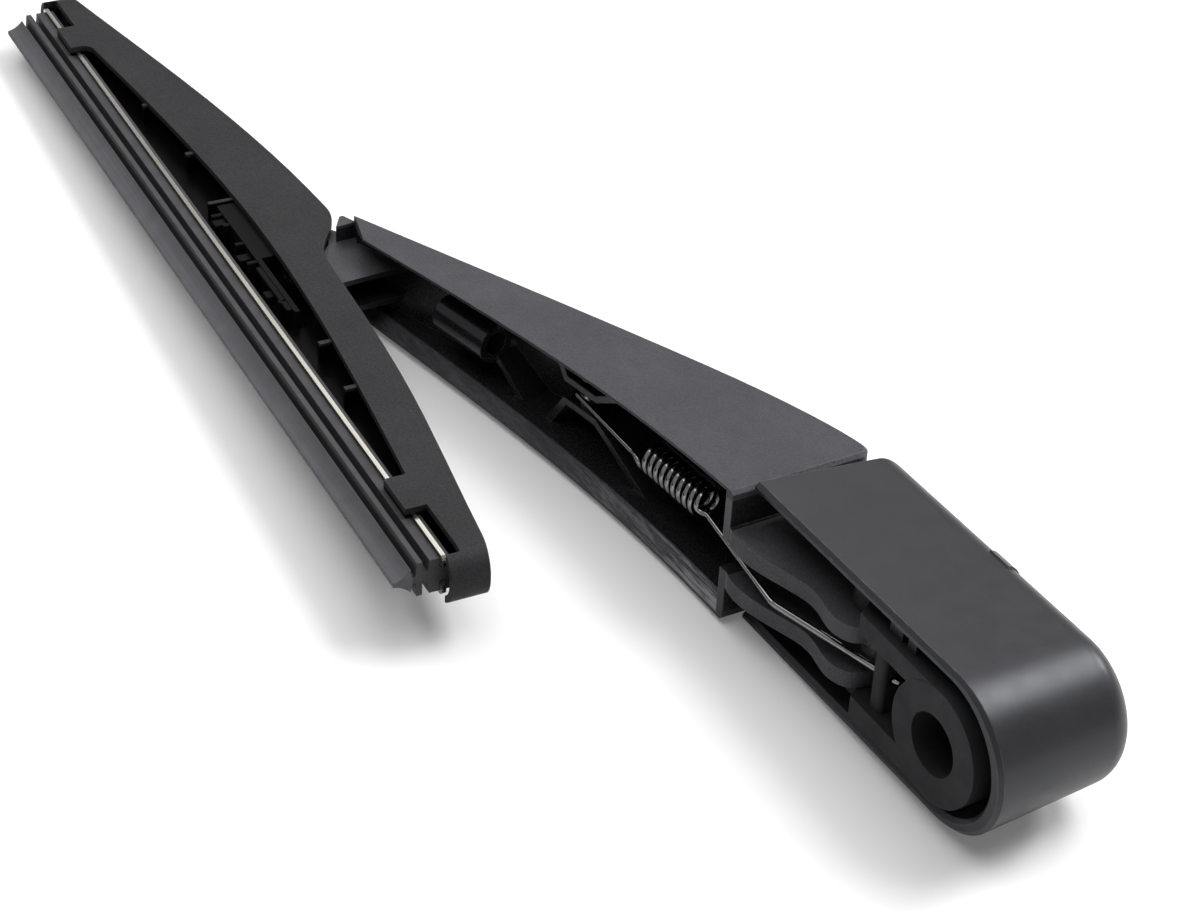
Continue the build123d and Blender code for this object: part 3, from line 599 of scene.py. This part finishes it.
# Painted shade: the clip and its ridges sit between the bow's walls, and their near-black colour and weak
# reflection stand in for the shade there
SHADED_CLIP_PLASTIC = Moulded(
    "head_plastic", dark=(0.004, 0.004, 0.004), light=(0.006, 0.006, 0.006), gloss=(0.4, 0.5),
    specular=0.04, grain=0.3 * MM, grain_depth=0.012 * MM, worn_and_glint=(0.02, 0.02, 0.02))
STRIP_STEEL = DrawnSteel(
    "bright_steel", dark=(0.28, 0.27, 0.245), light=(0.52, 0.50, 0.455), gloss=(0.2, 0.3), edge_round=0.0,
    lay=Lay.BLADE, line_depth=0.002 * MM)
PIN_STEEL = DrawnSteel(
    "bright_steel", dark=(0.42, 0.41, 0.39), light=(0.66, 0.65, 0.62), gloss=(0.22, 0.4))
SPRING_STEEL = DrawnSteel(
    "dark_steel", dark=(0.18, 0.18, 0.18), light=(0.27, 0.27, 0.265), gloss=(0.05, 0.09), edge_round=0.0,
    line_depth=0.002 * MM)
BLADE_RUBBER = Rubber(
    "blade_rubber", dark=(0.042, 0.040, 0.045), light=(0.092, 0.088, 0.098), gloss=(0.55, 0.75))


@dataclass
class Dressing:
    """A sub-assembly whose solids keep their shape and get a finish."""

    finishes: dict[str, Finish]

    def build(self, effects: Effects) -> None:
        """Give each solid its finish.

        Args:
            effects: The shared effects.
        """
        made: dict[Finish, Material] = {}
        for name, finish in self.finishes.items():
            if finish not in made:
                made[finish] = finish.material(effects)
            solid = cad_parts[name]
            solid.data.materials.clear()
            solid.data.materials.append(made[finish])
            log.info("dressed %s in %s", name, finish.slot)


@dataclass
class Route:
    """A wire's middle line, drawn one stretch after another."""

    points: list[Vector]
    steps: int = 12

    def bend(self, corner: Vector, onward: Vector, radius: float) -> None:
        """Run straight to a corner and round it.

        Args:
            corner: Where the two straight stretches would meet.
            onward: A point that the wire runs towards after the corner.
            radius: Length of each straight stretch that the bend takes.
        """
        start = corner + (self.points[-1] - corner).normalized() * radius
        end = corner + (onward - corner).normalized() * radius
        for step in range(self.steps + 1):
            part = step / self.steps
            self.points.append(start * (1 - part) ** 2 + corner * 2 * part * (1 - part) + end * part ** 2)

    def sway(self, end: Vector, leave: Vector, arrive: Vector) -> None:
        """Curve to a point.

        Args:
            end: Where the curve ends.
            leave: Direction in which it leaves the last point.
            arrive: Direction in which it arrives.
        """
        start = self.points[-1]
        reach = (end - start).length
        for step in range(1, self.steps + 1):
            part = step / self.steps
            ahead = start + leave.normalized() * reach * part
            behind = end - arrive.normalized() * reach * (1 - part)
            ease = part * part * (3 - 2 * part)
            self.points.append(ahead.lerp(behind, ease))

    def follow(self, line: Callable[[float], Vector], steps: int) -> None:
        """Follow a formula that gives the point at a share of the way, from 0 to 1."""
        self.points += [line(step / steps) for step in range(1, steps + 1)]


@dataclass
class TensionSpring:
    """Round wire spring between the head and the arm, all sizes in millimetres."""

    finish: Finish
    wire_r: float = 0.65
    wire_facets: int = 4
    hook_l: float = 1.6
    lead_l: float = 3.4
    hook: Vector = point(17.2, -3.35)
    kink: Vector = point(48.6, 4.7)
    lead: Vector = point(78.6, 0.65)
    coil: Vector = point(82.0, -1.6)
    coil_slope: float = radians(4.2)
    coil_r: float = 3.3
    coil_pitch: float = 2.0
    coil_rounds: int = 10
    coil_lead: float = radians(25.0)
    round_points: int = 40
    loop_turn: float = radians(200.0)
    loop_points: int = 24
    slip: float = 0.1
    nudge: float = 0.002

    def _turn(self, part: float) -> Vector:
        """Work out a point of the coil.

        Args:
            part: Share of the way through its turns.

        Returns:
            The point.
        """
        sweep = part * (self.coil_rounds * tau - 2 * self.coil_lead)
        angle = sweep + self.coil_lead
        turn = Vector((self.coil_pitch * sweep / tau, self.coil_r * cos(angle), self.coil_r * sin(angle)))
        return self.coil + Matrix.Rotation(self.coil_slope, 3, "Z") @ turn

    def _anchor(self) -> tuple[Vector, float]:
        """Find the loop round the anchor pin.

        Returns:
            The loop's middle and its radius.
        """
        corners = [Vector(corner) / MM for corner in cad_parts["spring_anchor_pin"].bound_box]
        low, high = corners[LOWEST_CORNER], corners[HIGHEST_CORNER]
        middle = (low + high) / 2
        return Vector((middle.x, middle.y, 0.0)), (high.x - low.x) / 2 + self.wire_r + self.slip

    def _route(self) -> list[Vector]:
        """Draw the wire's middle line from the head to the arm.

        Returns:
            Its points.
        """
        bend = 2 * self.wire_r
        route = Route([self.hook - Vector((0.0, self.hook_l, 0.0))])
        route.bend(self.hook, self.kink, bend)
        route.bend(self.kink, self.lead, bend)
        route.points.append(self.lead)
        start = self._turn(0.0)
        end = self._turn(1.0)
        route.sway(start, self.lead - self.kink, self._turn(self.nudge) - start)
        route.follow(self._turn, self.round_points * self.coil_rounds)
        away = Vector((end.x + self.lead_l, end.y, 0.0))
        route.sway(away, end - self._turn(1.0 - self.nudge), Vector((1.0, 0.0, 0.0)))
        middle, radius = self._anchor()
        route.points.append(middle + Vector((0.0, radius, 0.0)))

        def loop(part: float) -> Vector:
            """Give the point of the loop at a share of the way."""
            angle = part * self.loop_turn
            return middle + radius * Vector((sin(angle), cos(angle), 0.0))

        route.follow(loop, self.loop_points)
        return route.points

    def _wire(self, points: list[Vector]) -> bpy.types.Mesh:
        """Sweep the round wire along its middle line.

        Args:
            points: The middle line.

        Returns:
            The wire's mesh, in metres.
        """
        data = bpy.data.curves.new("spring_wire", "CURVE")
        data.dimensions = "3D"
        data.bevel_depth = self.wire_r * MM
        data.bevel_resolution = self.wire_facets
        data.use_fill_caps = True
        line = data.splines.new("POLY")
        line.points.add(len(points) - 1)
        for knot, place in zip(line.points, points):
            knot.co = (*(place * MM), 1.0)
        curve = show("spring_wire_line", data)
        bpy.context.view_layer.update()
        mesh = bpy.data.meshes.new_from_object(curve)
        bpy.data.objects.remove(curve)
        mesh.shade_smooth()
        mesh.materials.clear()
        return mesh

    def build(self, effects: Effects) -> None:
        """Draw the wire in place of the spring's many-sided solid.

        Args:
            effects: The shared effects.
        """
        points = self._route()
        mesh = self._wire(points)
        mesh.materials.append(self.finish.material(effects))
        wire = show("spring_wire", mesh)
        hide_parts("tension_spring")
        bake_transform(wire)
        log.info("drew spring_wire through %d points", len(points))


@dataclass(frozen=True)
class Ridge:
    """A moulded wall that stands across or along the blade, in millimetres in the blade's own axes."""

    along: Span
    height: Span
    across: Span


@dataclass
class BladeClip:
    """Fine moulding round the blade's clip, in millimetres in the blade's own axes."""

    # Painted shade: the clip's near-black plastic, also used for the ridges
    plastic: Finish
    bow: Finish
    pivot: Vector = point(-4.0, -14.0)
    plate: float = -3.9
    half: float = 4.7
    thick: float = 1.1
    edge: float = 0.2
    edge_steps: int = 2
    rib_at: float = 17.4
    rib_height: Span = (-23.4, -2.2)
    # Place along the blade and top of each cross wall
    walls: tuple[Span, ...] = ((12.6, -1.2), (7.8, -2.2), (-1.0, -1.8), (-9.5, -1.4), (-27.0, -2.0))
    # Place along and across the blade of each post
    posts: tuple[Span, ...] = ((10.2, 2.9), (-5.2, 2.4), (-5.2, -2.6), (-22.0, 2.6))
    post_l: float = 2.6
    post_w: float = 2.4
    post_top: float = -0.8
    rails: Span = (-31.0, -12.0)
    rail_top: float = -2.5

    def _ridges(self) -> list[Ridge]:
        """List the cross walls, posts and rails that stand on the clip's plate.

        Returns:
            The ridges.
        """
        full = about(0.0, 2 * self.half)
        ridges = [Ridge(about(at, self.thick), (self.plate, top), full) for at, top in self.walls]
        tall = (self.plate, self.post_top)
        for at, aside in self.posts:
            ridges.append(Ridge(about(at, self.post_l), tall, about(aside, self.post_w)))
        rail = self.half - self.thick / 2
        for aside in (-rail, rail):
            ridges.append(Ridge(self.rails, (self.plate, self.rail_top), about(aside, self.thick)))
        return ridges

    def _place(self) -> Matrix:
        """Find the blade's own axes from its pivot pin.

        Returns:
            The move from those axes to the frame.
        """
        low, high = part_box("blade_pivot_pin")
        turned = Matrix.Translation((low + high) / 2) @ Matrix.Rotation(BLADE_TURN, 4, "Z")
        return turned @ Matrix.Scale(MM, 4) @ Matrix.Translation(-self.pivot)

    def _mould(self, name: str, ridges: list[Ridge], finish: Finish, effects: Effects) -> None:
        """Make one piece from its ridges, with every edge broken.

        Args:
            name: The piece's name.
            ridges: Its walls.
            finish: Its finish.
            effects: The shared effects.
        """
        shape = bmesh.new()
        for ridge in ridges:
            spans = (ridge.along, ridge.height, ridge.across)
            made = bmesh.ops.create_cube(shape, size=1.0)["verts"]
            bmesh.ops.scale(shape, vec=Vector([high - low for low, high in spans]), verts=made)
            bmesh.ops.translate(shape, vec=Vector([(high + low) / 2 for low, high in spans]), verts=made)
        bmesh.ops.bevel(shape, geom=shape.edges[:], offset=self.edge, offset_type="OFFSET",
                        segments=self.edge_steps, profile=0.5, affect="EDGES", material=-1)
        shape.transform(self._place())
        mesh = bpy.data.meshes.new(name)
        shape.to_mesh(mesh)
        shape.free()
        mesh.materials.append(finish.material(effects))
        piece = show(name, mesh)
        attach(piece, Body.BLADE.value)
        log.info("moulded %s from %d walls", name, len(ridges))

    def build(self, effects: Effects) -> None:
        """Mould the clip's ridges and the bow's rib beyond it.

        Args:
            effects: The shared effects.
        """
        rib = Ridge(about(self.rib_at, self.thick), self.rib_height, about(0.0, 2 * self.half + self.thick))
        self._mould("clip_ridges", self._ridges(), self.plastic, effects)
        self._mould("bow_rib", [rib], self.bow, effects)


@dataclass
class Camera:
    """Camera that stands where the photograph was taken, in metres, with its lens in millimetres."""

    place: Vector = point(-0.31269, 0.27635, 0.35191)
    yaw: float = radians(-32.466)
    pitch: float = radians(35.406)
    roll: float = radians(3.476)
    lens: float = 88.01
    sensor: float = 36.0
    nearest: float = 0.01

    def build(self) -> None:
        """Set up the scene's camera."""
        data = bpy.data.cameras.new("camera")
        data.lens = self.lens
        data.sensor_width = self.sensor
        data.clip_start = self.nearest
        ahead = Vector((cos(self.yaw) * cos(self.pitch), sin(self.yaw) * cos(self.pitch), -sin(self.pitch)))
        turn = ahead.to_track_quat("-Z", "Y").to_matrix() @ Matrix.Rotation(self.roll, 3, "Z")
        camera = show("camera", data)
        camera.matrix_world = Matrix.Translation(self.place) @ turn.to_4x4()
        bpy.context.scene.camera = camera


@dataclass(frozen=True)
class Softbox:
    """A soft light, with its direction from the object, its sizes in metres and its power in watts."""

    name: str
    towards: tuple[float, float, float]
    distance: float
    size: Span
    power: float

    def hang(self, middle: Vector) -> None:
        """Hang the light.

        Args:
            middle: The point that it shines at.
        """
        data = bpy.data.lights.new(self.name, "AREA")
        data.shape = "RECTANGLE"
        data.size, data.size_y = self.size
        data.energy = self.power
        way = Vector(self.towards).normalized()
        turn = way.to_track_quat("Z", "Y").to_matrix().to_4x4()
        show(self.name, data).matrix_world = Matrix.Translation(middle + way * self.distance) @ turn


@dataclass
class Studio:
    """Pale table and soft light, in metres."""

    low_rim: Vector = point(0.0646, 0.0, -0.0174)
    blade_low: Vector = point(0.338, 0.05, -0.0066)
    middle: Vector = point(0.12, 0.02)
    reach: float = 6.0
    paint: Colour = (0.86, 0.86, 0.86)
    glow: Span = (0.12, 1.0)
    glow_reach: Span = (0.35, 1.3)
    room: float = 0.12
    mirror_room: float = 0.5
    lights: tuple[Softbox, ...] = (
        Softbox("key", (-0.18, -0.54, 0.82), distance=1.0, size=(0.5, 0.34), power=5.6),
        Softbox("ceiling", (0.05, -0.25, 1.0), distance=1.5, size=(2.0, 1.6), power=13.0),
        Softbox("back", (0.7, -0.05, 0.68), distance=1.6, size=(1.6, 0.6), power=6.0),
        Softbox("front", (-0.1, 0.4, 1.0), distance=1.5, size=(1.2, 0.6), power=5.0),
        Softbox("rim", (-0.1, -0.86, 0.5), distance=1.0, size=(0.2, 0.2), power=3.6))

    def _table_finish(self) -> Material:
        """Make a white table that the camera sees brighter than it lights, the more so farther out.

        Returns:
            The table's material.
        """
        material = bpy.data.materials.new("table")
        material.use_nodes = True
        nodes = Nodes(material.node_tree)
        paint = nodes.feed(nodes.add("ShaderNodeBsdfDiffuse"), Color=rgba(self.paint))
        place = nodes.add("ShaderNodeTexCoord").outputs["Object"]
        away = nodes.vectors("DISTANCE", place, self.middle)["Value"]
        seen = nodes.add("ShaderNodeLightPath").outputs["Is Camera Ray"]
        level = nodes.product(seen, nodes.ranged(away, self.glow_reach, self.glow))
        glow = nodes.feed(nodes.add("ShaderNodeEmission"), Color=rgba(WHITE), Strength=level)
        both = nodes.feed(nodes.add("ShaderNodeAddShader"), i0=paint.outputs[0], i1=glow.outputs[0])
        nodes.feed(nodes.add("ShaderNodeOutputMaterial"), Surface=both.outputs[0])
        return material

    def _table(self) -> None:
        """Lay the table under the cover's rim and the blade's far end."""
        shape = bmesh.new()
        bmesh.ops.create_grid(shape, x_segments=1, y_segments=1, size=self.reach)
        run = self.blade_low - self.low_rim
        tilt = Matrix.Rotation(-atan2(run.z, run.x), 4, "Y")
        shape.transform(Matrix.Translation(self.low_rim) @ tilt)
        mesh = bpy.data.meshes.new("table")
        shape.to_mesh(mesh)
        shape.free()
        mesh.materials.append(self._table_finish())
        table = show("table", mesh)

    def _room(self) -> None:
        """Fill the room with a little even light behind a white backdrop."""
        world = bpy.data.worlds.new("room")
        bpy.context.scene.world = world
        world.use_nodes = True
        nodes = Nodes(world.node_tree)
        path = nodes.add("ShaderNodeLightPath").outputs
        mirrored = nodes.ranged(path["Is Glossy Ray"], MASK_SPAN, (self.room, self.mirror_room))
        level = nodes.maths("MAXIMUM", mirrored, path["Is Camera Ray"])
        glow = nodes.feed(nodes.add("ShaderNodeBackground"), Color=rgba(WHITE), Strength=level)
        nodes.feed(nodes.add("ShaderNodeOutputWorld"), Surface=glow.outputs[0])

    def build(self) -> None:
        """Set up the table, the room and the lights."""
        self._table()
        self._room()
        for light in self.lights:
            light.hang(self.middle)
        bpy.context.scene.view_settings.view_transform = "Standard"


def main() -> None:
    """Build the camera, the studio and each sub-assembly."""
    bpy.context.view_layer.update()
    effects = Effects()
    Camera().build()
    Studio().build()
    Dressing({"spindle_head": HEAD_PLASTIC, "hinge_pin": PIN_STEEL}).build(effects)
    Dressing({"head_cover": SATIN_COVER}).build(effects)
    Dressing({"arm_body": ARM_PLASTIC, "spring_anchor_pin": PIN_STEEL}).build(effects)
    TensionSpring(SPRING_STEEL).build(effects)
    Dressing({"blade_frame": BOW_PLASTIC, "blade_connector": SHADED_CLIP_PLASTIC, "blade_pivot_pin": PIN_STEEL,
              "wiper_rubber": BLADE_RUBBER, "upper_steel_strip": STRIP_STEEL,
              "lower_steel_strip": STRIP_STEEL}).build(effects)
    BladeClip(SHADED_CLIP_PLASTIC, BOW_PLASTIC).build(effects)


if __name__ == "__main__":
    main()
